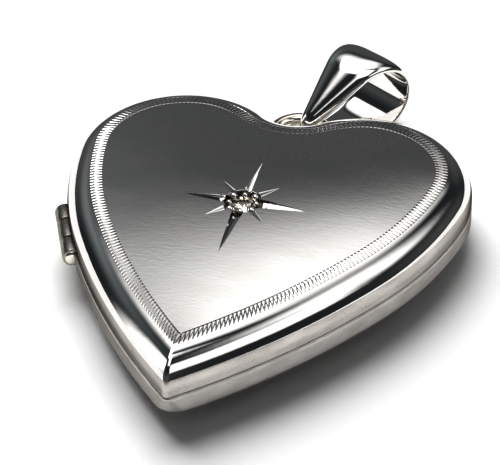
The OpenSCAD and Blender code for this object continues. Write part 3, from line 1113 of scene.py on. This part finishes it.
@dataclass
class FrontCover(Cover):
    """The front cover: polished shoulder, engraved border and satin dome with its star.

    Its wall is brushed up to a height above the seam, where the polish starts, with painted shade
    there.
    """

    wall: float = 0.43
    rise: float = 1.83
    shoulder: float = 1.2
    slope: float = 0.13
    shoulder_rows: int = 30
    top: float = 2.3
    brushed: float = 0.9
    foot: Sequence[float] = (0.3, 0.2, 0.13)
    swell_centre: Point = (0.0, 1.0)
    star: Star = Star((0.0, 1.0))
    border: Wriggle = Wriggle()
    hole_r: float = 1.3
    hole_rows: int = 22
    star_rows: int = 59
    field_rows: int = 26
    tuck: float = 0.02
    flat_from: float = 1.28
    least_cut: float = 1e-3
    # Width past the bevel that takes the painted shade.
    recess_band: float = 0.1
    grain_sizes: Point = (0.15, 0.2)
    grain_shifts: Point = (0.0, 0.08)
    grain_turn: float = 0.12
    grain_sink: float = 0.13
    grain_squash: float = 0.9
    grain_foot: float = -0.4

    def __post_init__(self) -> None:
        """Solves the dome's height once for every piece of the cover."""
        self.pillow = Pillow(self.heart, self.shoulder, self.rise, self.top, self.swell_centre)
        self.weights, self.swell = self.pillow.solve()

    def dome(self, xy: Array) -> Array:
        """Height of the dome above the seam at each x, y."""
        return self.pillow.height(xy, self.weights, self.swell)

    def build(self) -> None:
        """Makes the cover's pieces and the grains over the stone."""
        self.build_shoulder()
        self.build_border()
        self.build_dome()
        self.build_grains()

    def build_shoulder(self) -> None:
        """The wall and shoulder as one closed loop of sheet carried round the heart."""
        outer, inner = self.skin()
        foot = np.array([[inset, 0.0] for inset in self.foot])
        grid = self.carry(np.concatenate([outer, inner[::-1], foot]), True, 1.0)
        rows, cols = grid.shape[:2]
        part = np.zeros(rows, int)
        # Rows below the brushed height take the brushed wall's darker silver: painted shade.
        part[: np.searchsorted(outer[:, 1], self.brushed)] = 1
        part[len(outer) - 1 : rows - len(foot)] = 2
        piece = looped(
            "front_cover_shoulder", grid,
            [self.finishes.polished, self.finishes.wall, self.finishes.inside],
            kinds=np.repeat(part, cols),
        )
        ride(piece, Body.FRONT, "front_cover")

    def build_border(self) -> None:
        """The engraved band, from the shoulder to the satin field, closed below."""
        band = self.border
        inset = np.linspace(band.outer, band.inner, band.rows)
        xy = self.heart.rings(inset, np.full(band.rows, TIP_R), band.counts(self.heart))
        lift, cut = band.relief(xy.shape[1])
        top = np.concatenate([xy, (self.dome(xy) + lift - cut)[..., None]], -1)
        under = top[:: -band.back_step].copy()
        under[..., 2] = self.dome(under[..., :2]) - self.sheet
        grid = np.concatenate([top, under]) + [0, 0, self.seam]
        kinds = np.repeat(np.arange(len(grid)) >= band.rows - 1, grid.shape[1]).astype(int)
        piece = looped(
            "front_cover_border", grid, [self.finishes.engraved, self.finishes.inside],
            crease=24, kinds=kinds,
        )
        ride(piece, Body.FRONT, "front_cover")

    def polar(self) -> tuple[Array, Array]:
        """The dome's grid about the stone: drawn to the star, then out to the border.

        Returns:
            Radius and angle of each point, by row and line.
        """
        star = self.star
        r = np.concatenate([
            np.linspace(star.hole, self.hole_r, self.hole_rows),
            np.linspace(self.hole_r, star.field_r, self.star_rows + 1)[1:],
        ])
        angle = star.columns(r)
        rim = angle[-1]
        edge = self.heart.reach(np.array(star.centre), rim, self.border.inner - self.tuck, TIP_R)
        share = np.linspace(0, 1, self.field_rows + 1)[1:, None]
        outside = fold(star.field_r, share, edge[None, :])
        radius = np.concatenate([np.broadcast_to(r[:, None], angle.shape), outside])
        return radius, np.concatenate([angle, np.broadcast_to(rim, outside.shape)])

    def build_dome(self) -> None:
        """The satin dome on its polar grid, closed below by a few of the same rows."""
        r, angle = self.polar()
        star = self.star
        xy = np.array(star.centre) + r[..., None] * np.stack([np.cos(angle), np.sin(angle)], -1)
        depth = np.where(r < star.field_r, star.engraving(r, angle), 0)
        high = self.dome(xy)
        last = len(xy) - 1
        rows_below = [last, last - 8, last - 17, 80, 60, 40, 21, 10, 0]
        top = np.concatenate([xy, (high - depth)[..., None]], -1)
        under = np.concatenate([xy[rows_below], (high[rows_below] - self.sheet)[..., None]], -1)
        grid = np.concatenate([top, under]) + [0, 0, self.seam]
        after = np.roll(depth, -1, 1)
        deepest = np.stack([depth[:-1], after[:-1], depth[1:], after[1:]]).max(0)
        bright = deepest > self.least_cut
        kinds = np.zeros(grid.shape[:2], int)
        kinds[:last][bright] = 1
        # Cuts within the band round the bevel take the dark silver: painted shade in the recess.
        kinds[:last][bright & (r[:-1] < star.bevel_r + self.recess_band)] = 3
        kinds[last:] = 2
        flat = np.zeros(grid.shape[:2], bool)
        flat[:last] = bright & (r[:-1] > self.flat_from)
        piece = looped(
            "front_cover_dome", grid,
            [self.finishes.satin, self.finishes.cut, self.finishes.inside, self.finishes.recess],
            crease=35, kinds=kinds.ravel(), flat=flat.ravel(),
        )
        ride(piece, Body.FRONT, "front_cover")

    def build_grains(self) -> None:
        """Eight grains of the cover's own metal, raised over the stone's girdle.

        Each is a ball squashed towards its foot: radius (a cos e, a cos e, b sin e).
        """
        lat = np.linspace(self.grain_foot, 1, 12)[:-1, None] * math.pi / 2
        lon = spaced(24)[None, :]
        for k, ray in enumerate(self.star.rays):
            size, shift = self.grain_sizes[k % 2], self.grain_shifts[k % 2]
            out, turn = self.star.hole + shift, ray.angle + self.grain_turn
            x, y = self.star.centre
            foot = np.array([x + out * math.cos(turn), y + out * math.sin(turn)])
            level = self.seam + float(self.dome(foot)) - self.grain_sink
            grid = np.stack(np.broadcast_arrays(
                foot[0] + size * np.cos(lat) * np.cos(lon),
                foot[1] + size * np.cos(lat) * np.sin(lon),
                level + self.grain_squash * size * np.sin(lat)), -1)
            first, last = [*foot, grid[0, 0, 2]], [*foot, level + self.grain_squash * size]
            piece = capped(f"stone_grain_{k + 1}", grid, first, last, [self.finishes.cut])
            ride(piece, Body.FRONT, "front_cover")


# ---------------------------------------------------------------- inside the locket


@dataclass(frozen=True)
class Side:
    """One cover's lining: its body, the frame's inset and its height, and which way it faces."""

    name: str
    body: Body
    out: float
    level: float
    facing: float


@dataclass
class Lining(Maker):
    """The closing rim, painted dark as shade, and in each cover a photo frame with its window and card.
    """

    heart: Heart
    seam: float
    centre: Point
    counts: Counts = (14, 60, 36, 56, 6)
    rim: tuple[Point, ...] = (
        (0.42, -0.75), (0.42, -0.07), (0.46, -0.05), (0.46, 0.4), (0.76, 0.4), (0.76, -0.75)
    )
    soft: float = 0.05
    frame_sheet: float = 0.15
    skirt: float = 0.12
    skirt_depth: float = 0.6
    frame_width: float = 1
    plate_inset: float = 0.17
    plate_sheet: float = 0.2
    pane_start: float = 0.17
    card_start: float = 0.39
    plate_soft: float = 0.4
    plate_rings: int = 10
    sides: tuple[Side, ...] = (
        Side("back", Body.BACK, 0.79, -0.15, -1.0), Side("front", Body.FRONT, 0.43, 0.5, 1.0)
    )

    def ring(self, insets: Array) -> Array:
        """Outlines at several insets, all with the same rounded tip."""
        return self.heart.rings(insets, np.full(len(insets), TIP_R), self.counts)

    def band(self, loop: Sequence[Sequence[float]]) -> Array:
        """A section, as insets and heights from the seam, carried round the heart."""
        profile = soft_corners(loop, self.soft)
        xy = self.ring(profile[:, 0])
        z = np.broadcast_to(self.seam + profile[:, 1][:, None], xy.shape[:2])
        return np.concatenate([xy, z[..., None]], -1)

    def plate(self, name: str, inset: float, low: float, high: float, finish: Material) -> Piece:
        """A heart-shaped plate: rings from its middle over a rounded edge and back below.

        Args:
            name: the piece's name.
            inset: how far inside the outline the plate ends.
            low: height of its underside from the seam.
            high: height of its top from the seam.
            finish: its material.

        Returns:
            The plate.
        """
        corners = [[inset + 1, low], [inset, low], [inset, high], [inset + 1, high]]
        per_corner = 4
        arcs = soft_corners(corners, (high - low) * self.plate_soft, per_corner - 1)
        edge = arcs[per_corner : 3 * per_corner]
        rim = self.ring(edge[:, 0])
        share = np.linspace(0, 1, self.plate_rings + 2)[1:-1, None, None]
        middle = np.array(self.centre)
        under = (rim[:1] * (1 - share) + middle * share)[::-1]
        over = rim[-1:] * (1 - share) + middle * share
        level = np.ones(self.plate_rings)
        z = self.seam + np.concatenate([low * level, edge[:, 1], high * level])
        xy = np.concatenate([under, rim, over])
        grid = np.concatenate([xy, np.broadcast_to(z[:, None], xy.shape[:2])[..., None]], -1)
        return capped(name, grid, [*middle, self.seam + low], [*middle, self.seam + high], [finish])

    def build(self) -> None:
        """Makes the rim, then frame, window and card in each cover."""
        # The rim takes a dark silver: painted shade in the seam.
        piece = looped("closing_wall", self.band(self.rim), [self.finishes.rim])
        ride(piece, Body.BACK, "closing_rim")
        for side in self.sides:
            self.build_side(side)

    def build_side(self, side: Side) -> None:
        """Makes one cover's frame, window and card.

        Args:
            side: which cover, and where its frame lies.
        """
        sheet, skirt = self.frame_sheet, side.out + self.skirt
        inner, brim = skirt + sheet, side.out + self.frame_width
        section = [[side.out, 0], [side.out, sheet], [skirt, sheet], [skirt, self.skirt_depth],
                   [inner, self.skirt_depth], [inner, sheet], [brim, sheet], [brim, 0]]
        shape = self.band([[inset, side.level + side.facing * h] for inset, h in section])
        piece = looped(f"{side.name}_frame", shape, [self.finishes.polished])
        ride(piece, side.body, f"{side.name}_photo_frame")
        for what, start, finish, slot, node in (
            ("pane", self.pane_start, self.finishes.window, Slot.WINDOW, "window"),
            ("card", self.card_start, self.finishes.card, Slot.CARD, "photo_card"),
        ):
            ends = sorted(side.level + side.facing * h for h in (start, start + self.plate_sheet))
            piece = self.plate(f"{side.name}_{what}", skirt + self.plate_inset, *ends, finish)
            ride(piece, side.body, f"{side.name}_{node}")


# ---------------------------------------------------------------- stone, hinge, ring, bail


@dataclass
class Turned:
    """A round piece turned about an axis: a profile of along and radius, spun through a circle."""

    origin: Triple
    axis: Triple
    parts: int = 48

    def spin(self, profile: Array) -> Array:
        """Spins a profile: points at origin + along * axis + radius * (cos a side + sin a up).

        Args:
            profile: rows of distance along the axis and radius.

        Returns:
            Points, as rows, columns and x, y, z.
        """
        axis = np.array(self.axis) / np.linalg.norm(self.axis)
        helper = np.array([0.0, 0.0, 1.0] if abs(axis[2]) < 0.9 else [1.0, 0.0, 0.0])
        side = np.cross(helper, axis)
        side /= np.linalg.norm(side)
        a = spaced(self.parts)[:, None]
        out = np.cos(a) * side + np.sin(a) * np.cross(axis, side)
        return np.array(self.origin) + profile[:, :1, None] * axis + profile[:, 1:, None] * out[None]


@dataclass
class Brilliant(Maker):
    """The round stone and the seat behind it. Facet heights are shares of its width."""

    centre: Point
    top: float
    seat: Point
    width: float = 1.25
    crown: float = 0.16
    table_r: float = 0.57
    star_r: float = 0.8
    star_height: float = 0.092
    girdle: float = 0.03
    main_r: float = 0.3
    main_depth: float = 0.33
    culet: float = 0.46
    seat_r: float = 1.15
    seat_soft: float = 0.04
    bore: float = 0.2
    mouth: float = 0.42

    def ring(self, angle: Array, radius: float, height: float) -> Array:
        """Corners round the stone's axis.

        Args:
            angle: their angles.
            radius: their distance from the axis, as a share of the stone's radius.
            height: their height over the girdle, as a share of its width.

        Returns:
            The corners, one row each.
        """
        r = radius * (self.width / 2)
        level = np.full(len(angle), self.top + (height - self.crown) * self.width)
        x, y = self.centre
        return np.stack([x + r * np.cos(angle), y + r * np.sin(angle), level], -1)

    def build(self) -> None:
        """Cuts the stone: table, star, kite and girdle facets above, mains and halves below.

        Each ring of corners is radius * (cos a, sin a): the table's eight at multiples of 45
        degrees, the mid rings' eight half way between, and the girdle's sixteen at every 22.5.
        """
        a8, a16 = spaced(8), spaced(16)
        half_way = a8 + TURN / 16
        points = np.concatenate([
            self.ring(a8, self.table_r, self.crown), self.ring(half_way, self.star_r, self.star_height),
            self.ring(a16, 1, 0), self.ring(a16, 1, -self.girdle),
            self.ring(half_way, self.main_r, -self.main_depth),
            self.ring(a8[:1], 0, self.crown), self.ring(a8[:1], 0, -self.culet),
        ])
        table, mid, up, low, deep, top, culet = 0, 8, 16, 32, 48, 56, 57
        k, j = np.arange(8), np.arange(16)
        n, before, round_ = (k + 1) % 8, (k - 1) % 8, (j + 1) % 16
        g0, g1, g2 = 2 * k, 2 * k + 1, (2 * k + 2) % 16

        def faces(*rows: Sequence[Index]) -> Index:
            """Faces from the numbers of their corners, given corner by corner."""
            return np.concatenate([np.stack(np.broadcast_arrays(*row), -1) for row in rows])

        tris = faces(
            (top, table + k, table + n), (table + k, mid + k, table + n),
            (mid + k, up + g0, up + g1), (mid + k, up + g1, up + g2),
            (deep + k, low + g1, low + g0), (deep + k, low + g2, low + g1),
        )
        quads = faces(
            (table + k, mid + before, up + g0, mid + k),
            (up + j, low + j, low + round_, up + round_),
            (culet, deep + k, low + g0, deep + before),
        )
        flat = np.ones(len(quads) + len(tris), bool)
        piece = mesh_object("cut_stone", points, quads, tris, [self.finishes.stone], flat=flat)
        ride(piece, Body.FRONT, "stone")
        self.build_seat()

    def build_seat(self) -> None:
        """Turns the disc behind the stone: a drilled hole that opens in a cone for its pavilion."""
        low, high = self.seat
        bore, mouth, out = self.bore, self.mouth, self.seat_r
        loop = [[low, bore], [low, out], [high, out], [high, mouth], [high - (mouth - bore), bore]]
        lathe = Turned((*self.centre, 0.0), (0.0, 0.0, 1.0), parts=96)
        grid = lathe.spin(soft_corners(loop, self.seat_soft, 4))
        piece = looped("stone_seat_disc", grid, [self.finishes.inside])
        ride(piece, Body.FRONT, "stone_seat")


@dataclass
class Hinge(Maker):
    """Three knuckles on a peened pin; the knuckles' darker silver is painted shade."""

    line: HingeLine
    seam: float
    pin_r: float = 0.25
    bore: float = 0.28
    head: float = 0.12
    head_r: float = 0.36
    core_r: float = 0.02
    tuck: float = 0.3
    soft: float = 0.07

    def build(self) -> None:
        """Turns the knuckles with softened ends, and the pin with a rounded head at each end."""
        lathe = Turned((*self.line.middle, self.seam), (*self.line.along, 0.0))
        half, mid, gap, r = self.line.half, self.line.middle_half, self.line.gap, self.line.knuckle_r
        for name, start, end, body in (
            ("upper", -half, -mid - gap, Body.BACK),
            ("middle", -mid, mid, Body.FRONT),
            ("lower", mid + gap, half, Body.BACK),
        ):
            loop = [[start, self.bore], [start, r], [end, r], [end, self.bore]]
            grid = lathe.spin(soft_corners(loop, self.soft, 5))
            piece = looped(f"knuckle_{name}", grid, [self.finishes.knuckle])
            ride(piece, body, f"hinge_knuckle_{name}")
        far = half + self.head
        rivet = bend([far, self.core_r], [far, self.head_r], [half, self.head_r], 8)
        right = np.concatenate([rivet, [[half, self.pin_r], [half - self.tuck, self.pin_r]]])
        profile = np.concatenate([right, right[::-1] * [-1, 1]])
        ends = [np.array(lathe.origin) + along * np.array(lathe.axis) for along in (far, -far)]
        piece = capped("peened_pin", lathe.spin(profile), *ends, [self.finishes.wire])
        ride(piece, Body.BACK, "hinge_pin")


@dataclass
class RingAndBail(Maker):
    """The soldered ring, and the bail swung round its wire."""

    ring: Triple
    pivot: Triple
    ring_r: float = 1.39
    wire_r: float = 0.36
    solder: float = 0.1
    solder_turn: float = 0.3
    turn: float = math.radians(31)
    lift: float = math.radians(13.5)
    big_r: float = 1.84
    small_r: float = 0.78
    length: float = 3.0
    wide: float = 1.9
    narrow: float = 0.45
    sheet: float = 0.26
    puff: float = 0.3
    hollow: float = 0.35
    taper: float = 1.3
    round_parts: int = 108
    narrow_parts: int = 28
    side_parts: int = 25
    edge_power: float = 0.75
    puff_power: float = 0.9
    hollow_power: float = 0.5

    def build(self) -> None:
        """Makes the ring and the bail."""
        self.build_ring()
        self.build_bail()

    def build_ring(self) -> None:
        """A wire ring whose section swells where solder runs to the cleft's wall.

        Points are (R + r cos s)(cos a, sin a), r sin s, with r = wire + solder exp(-(off/turn)^2),
        where off is how far round a point is from the wall.
        """
        a, s = spaced(144)[:, None], spaced(48)[None, :]
        off = (a - 1.5 * math.pi) / self.solder_turn
        r = self.wire_r + self.solder * np.exp(-(off**2))
        out = self.ring_r + r * np.cos(s)
        local = np.stack([out * np.cos(a), out * np.sin(a), r * np.sin(s)], -1)
        piece = looped("soldered_ring", local + np.array(self.ring), [self.finishes.wire])
        ride(piece, Body.BACK, "bail_ring")

    def path(self) -> tuple[Array, Array]:
        """The bail's loop in its own plane: round end, two tangents, narrow end.

        Returns:
            Points x, z along the loop, and the outward direction's angle at each.
        """
        a = math.pi / 2 + math.asin((self.big_r - self.small_r) / self.length)

        def arc(x: float, radius: float, start: float, end: float, parts: int) -> Array:
            """Points of an arc about a centre on the loop's axis, with their directions."""
            t = np.linspace(start, end, parts + 1)
            return np.stack([x + radius * np.cos(t), radius * np.sin(t), t], -1)

        big = arc(self.length, self.big_r, -a, a, self.round_parts)
        small = arc(0, self.small_r, a, TURN - a, self.narrow_parts)
        s = np.linspace(0, 1, self.side_parts + 1)[1:-1, None]
        loop = np.concatenate([
            big, fold(big[-1], s, small[0]), small, fold(small[-1], s, big[0] + [0, 0, TURN])
        ])
        return loop[:, :2], loop[:, 2]

    def section(self) -> tuple[Array, Array]:
        """The band's section, puffed outside and a little hollow inside, with rounded edges.

        At angle e it is (half width * cos e, part of the thickness * sin e), each to its own
        power. The outside takes half the sheet plus the puff, and the inside half the sheet, less
        the hollow.

        Returns:
            Place across, from -1 to 1, and height over the band's line, at each point.
        """
        e = spaced(56)
        c, s = np.cos(e), np.sin(e)
        across = np.sign(c) * np.abs(c) ** self.edge_power
        outside = (self.sheet / 2 + self.puff) * np.abs(s) ** self.puff_power
        drawn_in = 1 - self.hollow * (1 - across**2)
        inside = -self.sheet / 2 * np.abs(s) ** self.hollow_power * drawn_in
        return across, np.where(s > 0, outside, inside)

    def build_bail(self) -> None:
        """The tapered band bent to a loop, tilted by lift and swung round by turn."""
        line, facing = self.path()
        across, raised = self.section()
        share = (self.length + self.big_r - line[:, 0]) / (self.length + self.big_r + self.small_r)
        half = fold(self.wide, np.clip(share, 0, 1) ** self.taper, self.narrow)
        x = line[:, 0:1] + raised[None] * np.cos(facing)[:, None]
        z = line[:, 1:2] + raised[None] * np.sin(facing)[:, None]
        local = np.stack([x, half[:, None] * across[None], z], -1)
        turn = Matrix.Rotation(math.pi / 2 - self.turn, 3, "Z") @ Matrix.Rotation(-self.lift, 3, "Y")
        grid = local @ np.array(turn).T + np.array(self.pivot)
        piece = looped("puffed_bail", grid, [self.finishes.polished], crease=70)
        ride(piece, Body.BAIL, "bail")


# ---------------------------------------------------------------- studio


class Sky(Nodes):
    """The world's nodes, with the direction that a ray leaves in."""

    def __init__(self, tree: bpy.types.NodeTree) -> None:
        """Starts an empty sky."""
        super().__init__(tree)
        self.ray = self.add("TexCoord", {}).outputs["Generated"]

    def calc(self, kind: str, *values: Union[Socket, float]) -> Socket:
        """A Math node's result from sockets or numbers."""
        return self.add("Math", dict(enumerate(values)), operation=kind).outputs[0]

    def along(self, axis: Vector) -> Socket:
        """How far a direction runs along an axis."""
        dot = self.add("VectorMath", {0: self.ray, 1: axis}, operation="DOT_PRODUCT")
        return dot.outputs["Value"]

    def under(self, value: Socket, limit: float, edge: float) -> Socket:
        """1 where a value is under the limit, falling smoothly to 0 over the edge."""
        inputs = {"Value": value, "From Min": limit + edge, "From Max": limit - edge}
        return self.add("MapRange", inputs, interpolation_type="SMOOTHSTEP").outputs["Result"]

    def tinted(self, colour: Triple, strength: Union[Socket, float]) -> Socket:
        """A colour times a strength."""
        return self.add("VectorMath", {0: colour, "Scale": strength}, operation="SCALE").outputs[0]


@dataclass(frozen=True)
class SoftBox:
    """A soft bright panel far off: its middle's direction, its half angles and its strength."""

    azimuth: float
    elevation: float
    half_w: float
    half_h: float
    strength: float
    edge: float
    colour: Triple = (1.0, 0.998, 0.992)
    least: float = 0.001

    def axes(self) -> tuple[Vector, Vector, Vector]:
        """Directions to the middle, to its right and up it. Azimuth runs from +Y towards +X."""
        a, e = math.radians(self.azimuth), math.radians(self.elevation)
        out = Vector((math.sin(a) * math.cos(e), math.cos(a) * math.cos(e), math.sin(e)))
        right = Vector((math.cos(a), -math.sin(a), 0))
        return out, right, right.cross(out)

    def light(self, sky: Sky) -> Socket:
        """The panel's light in the sky.

        It shows where |right| / out and |up| / out of a direction are both under the tangents of
        its half angles, with a smooth edge.

        Args:
            sky: the world's nodes.

        Returns:
            The light's colour.
        """
        out, right, up = (sky.along(axis) for axis in self.axes())
        front = sky.calc("MAXIMUM", out, self.least)
        mask = sky.calc("GREATER_THAN", out, self.least)
        for side, half, edge in ((right, self.half_w, self.edge * 2), (up, self.half_h, self.edge)):
            share = sky.calc("DIVIDE", sky.calc("ABSOLUTE", side), front)
            mask = sky.calc("MULTIPLY", mask, sky.under(share, math.tan(math.radians(half)), edge))
        return sky.tinted(self.colour, sky.calc("MULTIPLY", mask, self.strength))


@dataclass
class Studio(Maker):
    """A plain pale floor under soft boxes in a dim room."""

    room: Triple = (0.033, 0.037, 0.04)
    backdrop: float = 1.05
    boxes: tuple[SoftBox, ...] = (
        SoftBox(-65, 60, 13, 11, 2.0, 0.04),
        SoftBox(-20, 61, 22, 18.6, 0.88, 0.12),
        SoftBox(180, 80, 21, 17, 0.9, 0.05),
        SoftBox(68, 46, 15, 15, 0.85, 0.12),
        SoftBox(108, 37, 18, 12, 0.8, 0.05),
        SoftBox(-91, 14, 6, 18, 0.9, 0.04),
        SoftBox(-58, 30, 16, 9, 0.19, 0.2, (0.9, 0.97, 1.0)),
        SoftBox(-20, 14, 40, 20, 0.075, 0.2),
        SoftBox(60, 10, 14, 12, 0.09, 0.25, (1.0, 0.94, 0.88)),
        SoftBox(165, 18, 34, 15, 0.09, 0.3),
        SoftBox(-125, 14, 30, 14, 0.08, 0.3),
    )
    lamp: Point = (-30, 54)
    lamp_strength: float = 2.95
    lamp_spread: float = 48
    diffuse_share: float = 0.4
    floor_half: float = 600
    floor_level: float = -0.02
    floor_parts: int = 12

    def build(self) -> None:
        """Makes the floor, the lamp and the world."""
        self.build_floor()
        self.build_lamp()
        self.build_world()

    def build_lamp(self) -> None:
        """A wide lamp that lights the floor and is kept out of the silver's reflections."""
        azimuth, elevation = (math.radians(v) for v in self.lamp)
        data = bpy.data.lights.new("floor_lamp", "SUN")
        data.energy, data.angle = self.lamp_strength, math.radians(self.lamp_spread)
        lamp = bpy.data.objects.new("floor_lamp", data)
        lamp.rotation_euler = (math.pi / 2 - elevation, 0, math.pi - azimuth)
        lamp.visible_glossy = False
        bpy.context.scene.collection.objects.link(lamp)

    def build_floor(self) -> None:
        """A wide flat sheet just under the locket, as a grid of squares."""
        parts = self.floor_parts
        line = np.linspace(-self.floor_half, self.floor_half, parts + 1)
        x, y = np.meshgrid(line, line)
        points = np.stack([x, y, np.full_like(x, self.floor_level)], -1).reshape(-1, 3) * MM
        i = np.arange(parts)[:, None] * (parts + 1) + np.arange(parts)[None, :]
        quads = np.stack([i, i + 1, i + parts + 2, i + parts + 1], -1).reshape(-1, 4)
        mesh = bpy.data.meshes.new("studio_floor")
        mesh.from_pydata(points.tolist(), [], quads.tolist())
        mesh.materials.append(self.finishes.floor)
        floor = bpy.data.objects.new("studio_floor", mesh)
        bpy.context.scene.collection.objects.link(floor)

    def build_world(self) -> None:
        """A dim room with bright panels, which the floor and the silver reflect.

        The panels light the floor less than they show in the silver, and the backdrop is plain.
        """
        world = bpy.data.worlds.new("studio")
        bpy.context.scene.world = world
        world.use_nodes = True
        sky = Sky(world.node_tree)
        total = sky.tinted(self.room, 1.0)
        for box in self.boxes:
            total = sky.add("VectorMath", {0: total, 1: box.light(sky)}).outputs[0]
        path = sky.add("LightPath", {}).outputs
        strength = sky.calc("MULTIPLY_ADD", path["Is Diffuse Ray"], self.diffuse_share - 1, 1.0)
        shine = sky.add("Background", {"Color": total, "Strength": strength})
        plain = sky.add("Background", {"Color": (self.backdrop,) * 3 + (1,)})
        seen = {0: path["Is Camera Ray"], 1: shine.outputs[0], 2: plain.outputs[0]}
        sky.add("OutputWorld", {"Surface": sky.add("MixShader", seen).outputs[0]})


@dataclass(frozen=True)
class Viewpoint:
    """Where the camera stands: angles in degrees, distances in millimetres."""

    azimuth: float = 17.97
    elevation: float = 36.99
    roll: float = -2.12
    distance: float = 98.24
    lens: float = 145.7
    target: Triple = (-0.221, 2.625, 1.269)
    clip: Point = (0.005, 3)

    def build(self) -> None:
        """Makes the scene's camera, looking from the azimuth and elevation at the target."""
        a, e, r = (math.radians(v) for v in (self.azimuth, self.elevation, self.roll))
        back = Vector((math.sin(a) * math.cos(e), -math.cos(a) * math.cos(e), math.sin(e)))
        level = Vector((math.cos(a), math.sin(a), 0))
        upright = back.cross(level)
        right = level * math.cos(r) + upright * math.sin(r)
        up = upright * math.cos(r) - level * math.sin(r)
        data = bpy.data.cameras.new("studio_camera")
        data.lens, data.sensor_width = self.lens, SENSOR_WIDTH
        data.clip_start, data.clip_end = self.clip
        camera = bpy.data.objects.new("studio_camera", data)
        turn = Matrix((right, up, back)).transposed().to_4x4()
        place = (Vector(self.target) + back * self.distance) * MM
        camera.matrix_world = Matrix.Translation(place) @ turn
        bpy.context.scene.collection.objects.link(camera)
        bpy.context.scene.camera = camera


def corners_of(node: str) -> tuple[Array, Array]:
    """A CAD node's lowest and highest corners, in millimetres."""
    low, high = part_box(node)
    return np.array(low) / MM, np.array(high) / MM


def main() -> None:
    """Builds the locket's pieces around the frame, then the studio and the camera."""
    logging.basicConfig(level=logging.INFO, format="%(name)s %(message)s")
    view = bpy.context.scene.view_settings
    view.view_transform, view.exposure, view.gamma = "Standard", 0.48, 0.64
    finishes = Finishes()
    low, high = corners_of("front_cover")
    seam = float(low[2])
    heart = Heart(width=float(high[0] - low[0]), top=float(high[1]))
    stone_low, stone_high = corners_of("stone")
    middle = (0.0, float(stone_low[1] + stone_high[1]) / 2)
    seat = tuple(float(corner[2]) for corner in corners_of("stone_seat"))
    joints = {joint["name"]: joint for joint in frame["joints"]}
    pin = joints["cover_hinge"]
    line = HingeLine(
        tuple(float(v) / MM for v in pin["pos_m"][:2]), tuple(float(v) for v in pin["axis"][:2])
    )
    ring_low, ring_high = corners_of("bail_ring")
    ring_y = float(ring_high[1]) - RingAndBail.ring_r - RingAndBail.wire_r
    ring = (0.0, ring_y, float(ring_low[2] + ring_high[2]) / 2)
    pivot = tuple(float(v) / MM for v in joints["bail_swing"]["pos_m"])

    for maker in (
        BackCover(finishes, heart, line, seam, centre=middle),
        FrontCover(finishes, heart, line, seam, top=float(high[2]) - seam, star=Star(middle)),
        Lining(finishes, heart, seam, middle),
        Brilliant(finishes, middle, float(stone_high[2]), seat),
        Hinge(finishes, line, seam),
        RingAndBail(finishes, ring, pivot),
        Studio(finishes),
        Viewpoint(),
    ):
        maker.build()


if __name__ == "__main__":
    main()
